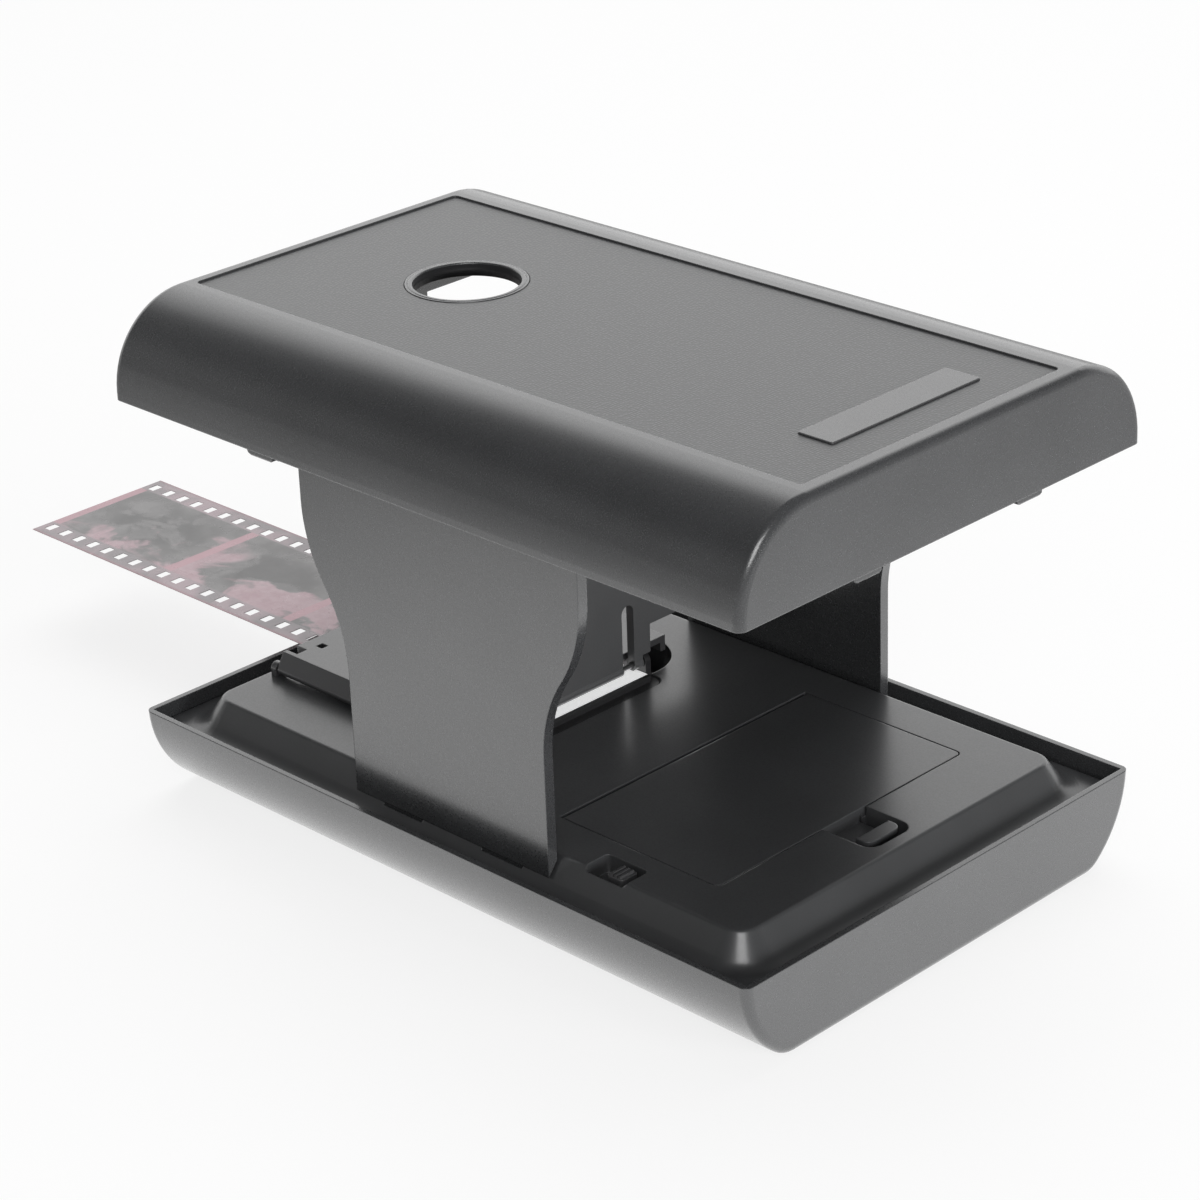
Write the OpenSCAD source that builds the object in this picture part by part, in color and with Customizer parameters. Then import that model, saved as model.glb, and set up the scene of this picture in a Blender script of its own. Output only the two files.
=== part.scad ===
// Folding film negative scanner for use with a telephone.
// Millimetres. The origin is the middle of the base's flat underside, +Z is up,
// +X runs along the length away from the film inlet, -Y is the near long side.

/* [Body] */
// Length of the base and of the cover
body_l = 157.4; // [154:0.2:164]
// Width of the base and of the cover
body_w = 104; // [102:0.2:106]
// Wall thickness of the base and the cover
wall = 2; // [1.6:0.1:2.4]
// Thickness of the base's rim above the ledge that carries the deck
rim_t = 1.2; // [1:0.1:1.4]
// Rolled edge between the long sides and the ends
edge_r = 1.7; // [1.5:0.1:2.5]

/* [Base] */
// Height of the base's rim
base_h = 17.5; // [17:0.1:18.5]
// Radius of the base's long sides
side_r = 21; // [20:0.5:24]
// Height of the axis of that radius
side_z = 18; // [17.5:0.5:20]
// Fillet between the long sides and the floor
floor_fillet = 6; // [4:0.5:7]

/* [Deck] */
// Height of the deck's plateau
deck_top = 20; // [19.5:0.1:20.5]
// Length of the plateau
deck_l = 138; // [136:0.5:140]
// Width of the plateau
deck_w = 84.6; // [84:0.2:85]
// Corner radius of the plateau
deck_corner = 4; // [3.5:0.5:6]
// Drop from the plateau to the gutter inside the rim
deck_drop = 5.6; // [5:0.2:6]
// Sheet thickness of the deck
deck_t = 2; // [1.6:0.1:2.2]

/* [Cover] */
// Height of the cover's rim above the table
cover_bottom = 82; // [80:0.5:84]
// Height of the cover's top above the table
cover_top = 100.4; // [98:0.1:101]
// Radius of the cover's long edges
cover_r = 17; // [15:0.1:17.8]
// Place of the viewing hole along the length
view_x = -37; // [-40:0.5:-35]
// Diameter of the viewing hole
view_d = 20.5; // [18:0.5:22]

/* [Side walls] */
// Distance between the outer faces of the side walls
stand_w = 91.4; // [91:0.2:92]
// Thickness of a side wall
stand_t = 2.2; // [1.8:0.1:2.3]
// Width of a side wall at its foot
stand_foot = 50.4; // [48:0.2:52]
// Width of a side wall at its head
stand_head = 70.4; // [66:0.2:72]
// Middle of the side walls along the length
stand_x = 1; // [-1:0.5:2]

/* [Film gate] */
// Height of the gate lid's top
gate_top = 24.8; // [24.4:0.1:25.2]
// Length of the picture window
frame_l = 36; // [35:0.5:37]
// Width of the picture window
frame_w = 24; // [23:0.5:25]
// Height of the diffuser's top
diffuser_top = 20.9; // [20.6:0.1:21]

/* [Film] */
// Width of the film
film_w = 35; // [34.9:0.05:35]
// Length of the film strip
film_l = 142; // [110:1:142]
// Left end of the film strip
film_x = -160; // [-165:1:-158]
// Pitch of the perforations
perf_pitch = 4.75; // [4.74:0.005:4.76]

/* [Light shield] */
// Height of the light shield's top
shield_top = 76; // [60:1:78]
// Width of the light shield above the film gate
shield_w = 72; // [60:1:82]

/* [Batteries] */
// Distance between the two cells' axes
cell_pitch = 15.8; // [15.2:0.1:16]

/* [Hidden] */
$fn = 64;
eps = 0.01;
far = 200;

shell_dark = [0.16, 0.165, 0.17];
deck_dark = [0.12, 0.12, 0.125];
inner_black = [0.05, 0.05, 0.055];
film_tone = [0.55, 0.47, 0.49];

// Base
side_y = body_w / 2 - sqrt(pow(side_r, 2) - pow(side_z - base_h, 2));
foot_h = 0.8;
foot_r = 4.5;
foot_at = [50, 26];
screw_at = [[-67.4, -31], [-67.4, 31], [63.5, -35], [63.5, 35]];
post_r = 3.4;
post_top = 9;
screw_r = 1.3;
head_r = 2.6;

// Deck: the slope falls 4 for every 3 outwards, between a rounded edge and a hollow
slope_edge = 1;
slope_hollow = 4;
slope_w = 0.75 * deck_drop + slope_hollow / 2;
gutter_z = deck_top - deck_drop;
gutter_l = body_l - 2 * rim_t - 0.4;
gutter_w = 99.4;
ledge_z = gutter_z - deck_t;

// Battery door, hinged on two pegs along its left edge
door_x = [17.4, 54.6];
door_half = 32.8;
door_t = 1.8;
door_gap = 0.3;
door_axis_z = deck_top - door_t / 2;
peg_r = 0.6;
peg_l = 1.4;
latch_x = [54.9, 66.2];
latch_half = 5.8;
latch_floor = 15.4;

// Battery holder and cells
cell_r = 7.25;
cell_body = 49.2;
cell_z = 10.7;
cell_mid = (door_x[0] + door_x[1]) / 2 - 0.5;
cell_nub = 1;
holder_x = [18, 53];
holder_half = 30.4;
holder_end = 1.8;
holder_z = [wall, 16.5];
contact_face = holder_half - holder_end - 1.4;
cell_neg = contact_face - cell_nub - cell_body;

// Power switch
switch_x = [32.2, 42.2];
switch_y = [-42.9, -36.9];
switch_floor = 16.4;
knob_x = 38.6;
knob_travel = 2.8;
switch_cx = knob_x - knob_travel / 2;
switch_mid = (switch_y[0] + switch_y[1]) / 2;

// Film gate
box_x = [-63, -7.6];
box_half = 19.4;
box_z = [wall, 19.7];
plate_x = [-61.3, -10.2];
plate_half = 17.8;
plate_t = 2.3;
lid_x = [-66, -14.8];
lid_half = 27;
lid_skin = 1.3;
lid_axis = [-27.8, 21.4];
lid_barrel = 1.05;
lid_peg = 0.5;
rail_x = [-61, -15.2];
rail_half = 17.9;
lid_notch = [-63.1, -26, -23.4];
ear_x = [lid_x[1] + 0.25, lid_x[1] + 1.85];
guide_x = [-67.6, -62.4];
scoop_r = 10.3;
scoop_x = [-36, -21.9];
scoop_y = 21.3;
scoop_floor = 12.3;
board_x = [-58.5, -14.5];

// Light shield
shield_x = -12.9;
shield_axis_z = 23;
shield_t = 1.9;
shield_foot = 40;
shield_step = 30.5;
slit_y = [12.4, 15.6];
slit_top = 36.4;
barrel_r = 1.2;
barrel_half = 17.85;
pin_r = 0.6;

// Side walls
wall_out = stand_w / 2;
wall_in = wall_out - stand_t;
wall_top = 90;
foot_z = [19.2, 16.5];
waist_z = [40, 72];
tenon_l = 10;
tenon_at = 13;
tenon_bottom = 11;
socket_y = [wall_in - 0.9, wall_out + 0.9];

// Cover
cover_flat = body_w / 2 - cover_r;
cover_skin = wall;
panel_x = [-75.5, 75];
panel_half = 33.2;
panel_sink = 0.35;
panel_t = 0.9;
ring_r = 11.6;
label_x = [59.5, 67.4];
label_y = [-17, 21.4];
label_sink = 0.4;
tab_side_x = -37.4;
tab_end_y = 21;
tab_l = 6.6;
tab_drop = 1.3;

// ---- shared forms

// Extrudes a section drawn as (Y, Z) along the length
module along_x(len) rotate([90, 0, 90]) linear_extrude(len, center = true) children();

// Extrudes a section drawn as (X, Z) across the width
module along_y(len) rotate([90, 0, 0]) linear_extrude(len, center = true) children();

module both_sides() {
    children();
    mirror([0, 1, 0]) children();
}

module both_ends() {
    children();
    mirror([1, 0, 0]) children();
}

// A box from its two corners in X, its two in Y and its two in Z
module block(x, y, z)
    translate([x[0], y[0], z[0]]) cube([x[1] - x[0], y[1] - y[0], z[1] - z[0]]);

// A rectangle with true arcs at its corners
module round_rect(l, w, r) {
    square([l - 2 * r, w], center = true);
    square([l, w - 2 * r], center = true);
    for (x = [-1, 1], y = [-1, 1])
        translate([x * (l / 2 - r), y * (w / 2 - r)]) circle(r);
}

// The same from its limits
module round_pocket(x, y, r)
    translate([(x[0] + x[1]) / 2, (y[0] + y[1]) / 2])
        round_rect(x[1] - x[0], y[1] - y[0], r);

module both_rims() {
    children();
    mirror([1, 0]) children();
}

// Outline of a long bar from its axis outwards, with its ends rolled over
module rolled_half(r) {
    translate([0, -body_l / 2]) square([r - edge_r, body_l]);
    translate([0, edge_r - body_l / 2]) square([r, body_l - 2 * edge_r]);
    for (s = [-1, 1]) translate([r - edge_r, s * (body_l / 2 - edge_r)]) circle(edge_r);
}

// A sector of that bar, turned about its axis, which lies along X
module rolled_sector(axis, r, from, to)
    translate([0, axis[0], axis[1]]) rotate([90, 0, 90]) rotate([0, 0, from])
        rotate_extrude(angle = to - from, $fn = 180) rolled_half(r);

module rod_y(x, z, r, y0, y1)
    translate([x, y0, z]) rotate([-90, 0, 0]) cylinder(r = r, h = y1 - y0, $fn = 32);

module rod_x(y, z, r, x0, x1)
    translate([x0, y, z]) rotate([0, 90, 0]) cylinder(r = r, h = x1 - x0, $fn = 32);

// A round wire swept through points, square to the reference direction
function unit(v) = v / norm(v);
function heading(p, i) = unit(p[min(i + 1, len(p) - 1)] - p[max(i - 1, 0)]);
function wire_ring(c, t, ref, r, n) =
    let (u = unit(cross(t, ref)), v = cross(t, u))
        [for (k = [0:n - 1]) c + r * (cos(360 * k / n) * u + sin(360 * k / n) * v)];
module wire(points, r, ref, n = 8) {
    last = len(points) - 1;
    verts = [for (i = [0:last]) each wire_ring(points[i], heading(points, i), ref, r, n)];
    sides = [for (i = [0:last - 1], k = [0:n - 1])
             let (a = i * n + k, b = i * n + (k + 1) % n) [a, b, b + n, a + n]];
    caps = [[for (k = [n - 1:-1:0]) k], [for (k = [0:n - 1]) last * n + k]];
    polyhedron(verts, concat(sides, caps));
}

// ---- base shell

function fillet_y(inset, f) =
    side_y + sqrt(pow(side_r - inset - f, 2) - pow(side_z - inset - f, 2));
function fillet_angle(inset, f) =
    -atan2(side_z - inset - f, fillet_y(inset, f) - side_y);

// Cross-section of the tray, open at its top
module base_section(inset, f, top) {
    c = [fillet_y(inset, f), inset + f];
    a = fillet_angle(inset, f);
    r = side_r - inset;
    intersection() {
        translate([-body_w, inset]) square([2 * body_w, top - inset]);
        union() {
            translate([-c[0], 0]) square([2 * c[0], far]);
            both_rims() {
                intersection() {
                    translate([side_y, side_z]) circle(r, $fn = 180);
                    polygon([[c[0] - 5, c[1]], c, c + 3 * f * [cos(a), sin(a)], [body_w, 0],
                             [body_w, far], [c[0] - 5, far]]);
                }
                translate(c) circle(f);
            }
        }
    }
}

// The wider mouth of the tray above the ledge
module rim_section()
    intersection() {
        translate([-far, ledge_z]) square(2 * far);
        union() {
            translate([-side_y, 0]) square([2 * side_y, far]);
            both_rims() translate([side_y, side_z]) circle(side_r - rim_t, $fn = 180);
        }
    }

// Outer form of the tray, with its ends rolled over
module base_form() {
    y = fillet_y(0, floor_fillet);
    a = fillet_angle(0, floor_fillet);
    both_sides() {
        mirror([0, 1, 0]) rotate([90, 0, 0]) linear_extrude(y) difference() {
            translate([0, base_h]) rotate(-90) rolled_half(base_h);
            translate([-far, base_h]) square(2 * far);
        }
        rolled_sector([y, floor_fillet], floor_fillet, -90, a);
        difference() {
            rolled_sector([side_y, side_z], side_r, a, 0);
            translate([-far, -far, base_h]) cube(2 * far);
        }
    }
}

module base_shell() color(shell_dark) {
    difference() {
        union() {
            difference() {
                base_form();
                along_x(body_l - 2 * wall) base_section(wall, floor_fillet - wall, far);
                along_x(body_l - 2 * rim_t) rim_section();
            }
            intersection() {
                base_form();
                union() {
                    for (p = screw_at) translate([p[0], p[1], 0]) cylinder(r = post_r, h = post_top);
                    both_sides() for (s = [-1, 1]) {
                        x = stand_x + s * tenon_at;
                        block([x - tenon_l / 2 - 2, x + tenon_l / 2 + 2], socket_y,
                              [wall, tenon_bottom]);
                    }
                }
            }
        }
        for (p = screw_at) translate([p[0], p[1], -eps]) {
            cylinder(r = screw_r + 0.2, h = far);
            cylinder(r = head_r + 0.2, h = 3.9 + eps);
        }
        for (x = [-1, 1], y = [-1, 1]) translate([x * foot_at[0], y * foot_at[1], -eps])
            cylinder(r = foot_r + 0.1, h = 0.6 + eps);
    }
}

module housing_screws() color("silver")
    for (p = screw_at) translate([p[0], p[1], 1.9]) difference() {
        union() {
            cylinder(r1 = head_r - 0.5, r2 = head_r, h = 0.6, $fn = 32);
            translate([0, 0, 0.6]) cylinder(r = head_r, h = 1.4, $fn = 32);
            cylinder(r = screw_r, h = 12.5, $fn = 32);
        }
        for (a = [0, 90]) rotate([0, 0, a]) translate([-1.6, -0.3, -eps]) cube([3.2, 0.6, 1.1]);
    }

module rubber_feet() color("black")
    for (x = [-1, 1], y = [-1, 1]) translate([x * foot_at[0], y * foot_at[1], -foot_h]) {
        cylinder(r1 = foot_r - 0.4, r2 = foot_r, h = 0.4);
        translate([0, 0, 0.4]) cylinder(r = foot_r, h = foot_h + 0.2);
    }

// ---- deck

// Half-section of the slope: a rounded edge at x, a straight fall, a hollow, the gutter
module slope(x, z, bottom) {
    e = slope_edge;
    h = slope_hollow;
    foot = x + slope_w;
    crest = [x - e / 2, z - e];
    over = [x + 0.3 * e, z - 0.4 * e];
    under = [foot - 0.8 * h, z - deck_drop + 0.4 * h];
    translate([0, bottom]) square([crest[0], z - bottom]);
    intersection() {
        translate(crest) circle(e);
        polygon([crest, [crest[0], z + e], [over[0] + 0.8 * e, over[1] + 0.6 * e], over]);
    }
    polygon([[crest[0], bottom], crest, over, under, [under[0], bottom]]);
    difference() {
        translate([under[0], bottom]) square([foot - under[0], under[1] - bottom]);
        translate([foot, z - deck_drop + h]) circle(h);
    }
}

// A raised plateau whose four sides slope down to the gutter
module hill(l, w, top, bottom) {
    r = deck_corner;
    core = [l / 2 - r, w / 2 - r];
    translate([-core[0], -core[1], bottom]) cube([2 * core[0], 2 * core[1], top - bottom]);
    both_sides() translate([0, core[1], 0]) along_x(2 * core[0]) slope(r, top, bottom);
    both_ends() translate([core[0], 0, 0]) along_y(2 * core[1]) slope(r, top, bottom);
    both_ends() both_sides() translate([core[0], core[1], 0])
        rotate_extrude(angle = 90) slope(r, top, bottom);
}

module scoop(r)
    translate([0, scoop_y]) {
        for (x = scoop_x) translate([x, 0]) circle(r);
        translate([scoop_x[0], -r]) square([scoop_x[1] - scoop_x[0], 2 * r]);
    }

module deck() color(deck_dark) difference() {
    union() {
        // ear for the gate lid's right-hand peg
        rod_x(lid_axis[0], lid_axis[1], 1.3, ear_x[0], ear_x[1]);
        block(ear_x, [lid_axis[0] - 1.3, lid_axis[0] + 1.3], [deck_top - 0.5, lid_axis[1]]);
        difference() {
            union() {
                hill(deck_l, deck_w, deck_top, ledge_z);
                translate([0, 0, ledge_z]) linear_extrude(deck_t)
                    round_rect(gutter_l, gutter_w, 2);
            }
            hill(deck_l - 2.8, deck_w - 2.8, deck_top - deck_t, ledge_z - deck_t);
        }
        block([15, 56.1], [-36, 36], [16.6, deck_top - eps]);
        block([54, latch_x[1] + 1.2], [-latch_half - 1.2, latch_half + 1.2],
              [latch_floor - 1.2, deck_top - eps]);
        intersection() {
            block([switch_x[0] - 1.2, switch_x[1] + 1.2], [switch_y[0] - 1.2, switch_y[1] + 1.2],
                  [switch_floor - 1.6, deck_top]);
            hill(deck_l, deck_w, deck_top, 10);
        }
        difference() {
            translate([0, 0, scoop_floor - 1.2])
                linear_extrude(deck_top - scoop_floor + 1.2 - eps) scoop(scoop_r + 1.2);
            block([box_x[0] - 0.3, box_x[1] + 0.3], [-far, box_half + 0.2], [0, far]);
        }
        for (p = screw_at) translate([p[0], p[1], post_top]) cylinder(r = post_r, h = 9.5);
    }
    translate([0, 0, -eps]) linear_extrude(far)
        round_pocket([box_x[0] - 0.3, box_x[1] + 0.3], [-box_half - 0.3, box_half + 0.3], 3);
    translate([0, 0, scoop_floor]) linear_extrude(far) scoop(scoop_r);
    translate([0, 0, deck_top - door_t - 0.05]) linear_extrude(far) {
        round_pocket([door_x[0] - door_t / 2 - door_gap, door_x[1] + door_gap],
                     [-door_half - door_gap, door_half + door_gap], 1.5);
        translate([door_x[0] - door_t / 2 - door_gap, -door_half - door_gap])
            square([5, 2 * (door_half + door_gap)]);
    }
    both_sides() rod_y(door_x[0], door_axis_z, peg_r + 0.06, door_half - 1,
                       door_half + peg_l + 0.4);
    block([18.8, 53], [-holder_half - 0.2, holder_half + 0.2], [0, far]);
    translate([0, 0, latch_floor]) linear_extrude(far) {
        round_pocket(latch_x, [-latch_half, latch_half], 2.8);
        translate([latch_x[0] - 0.2, -latch_half]) square([4, 2 * latch_half]);
    }
    block([latch_x[0] - 3, latch_x[0] + eps], [-4.9, 4.9], [latch_floor, far]);
    translate([0, 0, switch_floor]) linear_extrude(far) round_pocket(switch_x, switch_y, 1);
    block([knob_x - knob_travel - 1.8, knob_x + 1.8], [switch_mid - 1, switch_mid + 1],
          [0, far]);
    both_sides() for (s = [-1, 1]) {
        x = stand_x + s * tenon_at;
        block([x - tenon_l / 2 - 0.2, x + tenon_l / 2 + 0.2], [wall_in + 0.2, wall_out - 0.2],
              [0, far]);
    }
    rod_x(lid_axis[0], lid_axis[1], lid_peg + 0.06, ear_x[0] - 1, ear_x[1] + 1);
    for (p = screw_at) translate([p[0], p[1], post_top - eps]) cylinder(r = screw_r + 0.02, h = 6.5);
}

// ---- battery door and its compartment

module battery_door() color(deck_dark) {
    difference() {
        union() {
            translate([0, 0, deck_top - door_t]) linear_extrude(door_t) difference() {
                round_pocket([door_x[0] - 4, door_x[1]], [-door_half, door_half], 1.2);
                translate([door_x[0] - 5, -far]) square([5, 2 * far]);
            }
            rod_y(door_x[0], door_axis_z, door_t / 2, -door_half, door_half);
            both_sides() rod_y(door_x[0], door_axis_z, peg_r, door_half - eps, door_half + peg_l);
        }
        block([52.6, door_x[1] + eps], [-4.6, 4.6], [0, deck_top - door_t + 0.7]);
    }
    // sprung tongue: down, across and up again to a finger lip
    intersection() {
        along_y(9) polygon([[53.4, 19], [53.4, 16.1], [63.2, 16.1], [63.2, 19], [64.4, 19],
                            [64.4, 20], [61.3, 20], [61.3, 19.2], [62, 18.7], [62, 17.3],
                            [54.6, 17.3], [54.6, 19]]);
        linear_extrude(far) round_pocket([48, 64.4], [-4.4, 4.4], 1.8);
    }
}

module battery_holder() color(inner_black) {
    difference() {
        block(holder_x, [-holder_half, holder_half], holder_z);
        block([holder_x[0] + 1.2, holder_x[1] - 1.2],
              [holder_end - holder_half, holder_half - holder_end], [holder_z[0] + 1.2, far]);
        for (x = [holder_x[0], holder_x[1]])
            translate([x, 0, 14.5]) rotate([0, 90, 0]) cylinder(r = 4, h = 4, center = true);
    }
    difference() {
        block([cell_mid - 1.5, cell_mid + 1.5], [-20, 20], [holder_z[0], 7]);
        for (s = [-1, 1]) rod_y(cell_mid + s * cell_pitch / 2, cell_z, cell_r + 0.2, -21, 21);
    }
}

module one_cell() {
    rod_y(0, cell_z, cell_r, cell_neg, contact_face - cell_nub);
    rod_y(0, cell_z, 2.7, contact_face - cell_nub - eps, contact_face);
}

module aa_cells() color("goldenrod")
    for (s = [-1, 1]) translate([cell_mid + s * cell_pitch / 2, 0, 0])
        rotate([0, 0, s < 0 ? 0 : 180]) one_cell();

// The coil is widest on its plate and narrows towards the cell
spring_turns = 3.5;
spring_steps = 42;
module one_spring() {
    y0 = -holder_half + holder_end + 0.4;
    y1 = cell_neg - 0.4;
    wire([for (i = [0:spring_steps])
          let (t = i / spring_steps, r = 3.6 - 1.4 * t, a = 360 * spring_turns * t)
              [r * cos(a), y0 + 0.4 + (y1 - y0 - 0.4) * t, cell_z + r * sin(a)]],
         0.35, [0, 1, 0], 6);
}

module contact_springs() color("silver")
    for (s = [-1, 1]) translate([cell_mid + s * cell_pitch / 2, 0, 0])
        rotate([0, 0, s < 0 ? 0 : 180]) one_spring();

module contact_plates() color("silver")
    for (s = [-1, 1]) translate([cell_mid + s * cell_pitch / 2, 0, 0])
        rotate([0, 0, s < 0 ? 0 : 180]) {
            block([-4.5, 4.5], [holder_end - holder_half, holder_end - holder_half + 0.4],
                  [5, 15.5]);
            block([-4.5, 4.5], [holder_half - holder_end - 0.4, holder_half - holder_end],
                  [5, 15.5]);
            translate([0, contact_face + 0.02, cell_z]) rotate([-90, 0, 0])
                cylinder(r1 = 1.6, r2 = 2.6, h = 0.99, $fn = 32);
        }

// ---- power switch

module switch_body() color("silver") {
    block([switch_cx - 5, switch_cx + 5], [switch_mid - 2, switch_mid + 2],
          [switch_floor - 5.6, switch_floor - 1.7]);
    for (i = [-1:1]) block([switch_cx - 0.3 + 2.5 * i, switch_cx + 0.3 + 2.5 * i],
                           [switch_mid - 0.2, switch_mid + 0.2],
                           [switch_floor - 8.6, switch_floor - 5.6]);
}

module switch_knob() color("dimgray") {
    block([knob_x - 1.6, knob_x + 1.6], [switch_mid - 0.8, switch_mid + 0.8],
          [switch_floor - 1.65, switch_floor + 1]);
    translate([knob_x, switch_mid, switch_floor + 0.2]) linear_extrude(3)
        round_rect(3.8, 4, 0.6);
    for (i = [-1:1]) block([knob_x - 0.25 + i, knob_x + 0.25 + i],
                           [switch_mid - 1.7, switch_mid + 1.7],
                           [switch_floor + 3.1, switch_floor + 3.6]);
}

// ---- light box

module light_box() color(inner_black) difference() {
    union() {
        translate([0, 0, box_z[0]]) linear_extrude(box_z[1] - box_z[0])
            round_pocket(box_x, [-box_half, box_half], 2.7);
        both_sides() {
            rod_y(shield_x, shield_axis_z, 1.5, box_half - 1.4, box_half);
            block([shield_x - 1.5, shield_x + 1.5], [box_half - 1.4, box_half],
                  [box_z[1] - 1, shield_axis_z]);
        }
    }
    block([plate_x[0] + 1.5, plate_x[1] - 1.5], [-plate_half + 1.5, plate_half - 1.5],
          [box_z[0] + 1.5, far]);
    block([plate_x[0] - 0.1, plate_x[1] + 0.1], [-plate_half - 0.1, plate_half + 0.1],
          [diffuser_top - plate_t, far]);
    rod_y(shield_x, shield_axis_z, pin_r, -far / 2, far / 2);
}

module diffuser_plate() color("white")
    translate([0, 0, diffuser_top - plate_t]) linear_extrude(plate_t)
        round_pocket(plate_x, [-plate_half, plate_half], 0.8);

module led_board() color("darkgreen")
    difference() {
        block(board_x, [-14, 14], [box_z[0] + 1.5, box_z[0] + 3.1]);
        for (x = [board_x[0] + 3, board_x[1] - 3], y = [-11, 11])
            translate([x, y, 0]) cylinder(r = 1.1, h = far / 2);
    }

module leds() color("lightyellow")
    for (i = [0:3], y = [-7, 7]) {
        x = board_x[0] + 7 + 10 * i;
        block([x - 1.75, x + 1.75], [y - 1.4, y + 1.4], [box_z[0] + 3.1, box_z[0] + 3.9]);
        translate([x, y, box_z[0] + 3.9 - eps]) cylinder(r = 1.1, h = 0.2);
    }

// ---- film gate

// Low ramp under the film, with an arm and an ear for the gate lid's left-hand peg
module film_entry_guide() color(deck_dark) difference() {
    ear = [guide_x[0], lid_x[0] - 0.25];
    union() {
        along_y(2 * (rail_half + 1.6)) polygon([[guide_x[0], deck_top], [guide_x[0], deck_top + 0.2],
                                                [guide_x[0] + 1.5, deck_top + 0.7],
                                                [guide_x[1], deck_top + 0.7],
                                                [guide_x[1], deck_top]]);
        block(ear, [lid_axis[0] - 1.3, -rail_half], [deck_top, deck_top + 0.7]);
        block(ear, [lid_axis[0] - 1.3, lid_axis[0] + 1.3], [deck_top, lid_axis[1]]);
        rod_x(lid_axis[0], lid_axis[1], 1.3, ear[0], ear[1]);
    }
    rod_x(lid_axis[0], lid_axis[1], lid_peg + 0.06, ear[0] - 1, ear[1] + 1);
}

// The picture window, its upper edges bevelled all round
module window_cut() {
    b = 1.5;
    z = [gate_top - lid_skin, gate_top + eps];
    block([view_x - frame_l / 2, view_x + frame_l / 2], [-frame_w / 2, frame_w / 2], [0, far]);
    translate([view_x, 0, 0]) intersection() {
        along_x(far) bevel(frame_w / 2, b, z);
        along_y(far) bevel(frame_l / 2, b, z);
    }
}

module bevel(half, b, z)
    polygon([[-half, z[0]], [-half - b, z[1]], [half + b, z[1]], [half, z[0]]]);

module gate_lid() color(deck_dark) {
    mid = (lid_x[0] + lid_x[1]) / 2;
    len = lid_x[1] - lid_x[0];
    y = lid_axis[0];
    z = lid_axis[1];
    difference() {
        union() {
            translate([mid, 0, 0]) along_x(len) difference() {
                polygon([[y - 0.95, z + 0.5], [-lid_half, gate_top], [lid_half, gate_top],
                         [lid_half, 21.6], [lid_half - lid_skin, 21.6],
                         [lid_half - lid_skin, gate_top - lid_skin],
                         [1.6 - lid_half, gate_top - lid_skin], [y + 0.8, z - 0.6], [y, z]]);
            }
            rod_x(y, z, lid_barrel, lid_x[0], lid_x[1]);
            rod_x(y, z, lid_peg, lid_x[0] - 1.4, lid_x[1] + 1.4);
            both_sides() block(rail_x, [rail_half, rail_half + 1.3],
                               [20.3, gate_top - lid_skin + eps]);
            // lip over the film at the inlet
            block([lid_x[0], lid_x[0] + 1.2], [lid_notch[2], lid_half - 0.5],
                  [diffuser_top + 1.3, gate_top - lid_skin + eps]);
            block([view_x - frame_l / 2 - 1.2, view_x + frame_l / 2 + 1.2],
                  [-frame_w / 2 - 1.2, frame_w / 2 + 1.2], [21.5, gate_top - eps]);
            // thumb lip over the finger scoop
            translate([(scoop_x[0] + scoop_x[1]) / 2, lid_half, gate_top - 1.1])
                linear_extrude(1.1) round_rect(12, 4, 1.5);
        }
        window_cut();
        block([lid_x[0] - 1, lid_notch[0]], [lid_notch[1], lid_notch[2]], [0, far]);
        block([-63, -61.3], [-21.2, -19.5], [gate_top - lid_skin - 1, far]);
    }
}

module film_strip() color(film_tone)
    translate([film_x, 0, diffuser_top + 0.1]) linear_extrude(0.15) difference() {
        translate([0, -film_w / 2]) square([film_l, film_w]);
        for (i = [0:floor(film_l / perf_pitch) - 1], s = [-1, 1])
            translate([(i + 0.5) * perf_pitch, s * 14.09]) square([1.98, 2.79], center = true);
    }

// ---- light shield

module shield_outline() {
    s = shield_step;
    difference() {
        union() {
            translate([0, (s + shield_top) / 2]) round_rect(shield_w, shield_top - s, 4);
            translate([-shield_foot / 2, shield_axis_z + 1.6])
                square([shield_foot, s - shield_axis_z + 4]);
            translate([-barrel_half, shield_axis_z]) square([2 * barrel_half, 6]);
        }
        for (m = [-1, 1]) translate([m * (slit_y[0] + slit_y[1]) / 2, 0]) {
            w = slit_y[1] - slit_y[0];
            translate([-w / 2, 0]) square([w, slit_top - w / 2]);
            translate([0, slit_top - w / 2]) circle(w / 2);
        }
    }
}

module light_shield() color(shell_dark) difference() {
    union() {
        translate([shield_x, 0, 0]) along_x(shield_t) shield_outline();
        difference() {
            rod_y(shield_x, shield_axis_z, barrel_r, -barrel_half, barrel_half);
            both_sides() block([-20, 0], slit_y, [0, far]);
        }
    }
    rod_y(shield_x, shield_axis_z, pin_r + 0.06, -far / 2, far / 2);
}

module shield_pin() color("silver")
    rod_y(shield_x, shield_axis_z, pin_r, -box_half, box_half);

// ---- side walls

// One flank: straight foot, two equal arcs, straight head
module flank(foot, head, top) {
    d = head - foot;
    h = (waist_z[1] - waist_z[0]) / 2;
    r = (pow(h, 2) + pow(d / 2, 2)) / d;
    square([foot, waist_z[0]]);
    difference() {
        translate([0, waist_z[0]]) square([foot + d / 2, h]);
        translate([foot + r, waist_z[0]]) circle(r, $fn = 180);
    }
    intersection() {
        translate([0, waist_z[0] + h]) square([head, h]);
        translate([head - r, waist_z[1]]) circle(r, $fn = 180);
    }
    translate([0, waist_z[1]]) square([head, top - waist_z[1]]);
}

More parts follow.
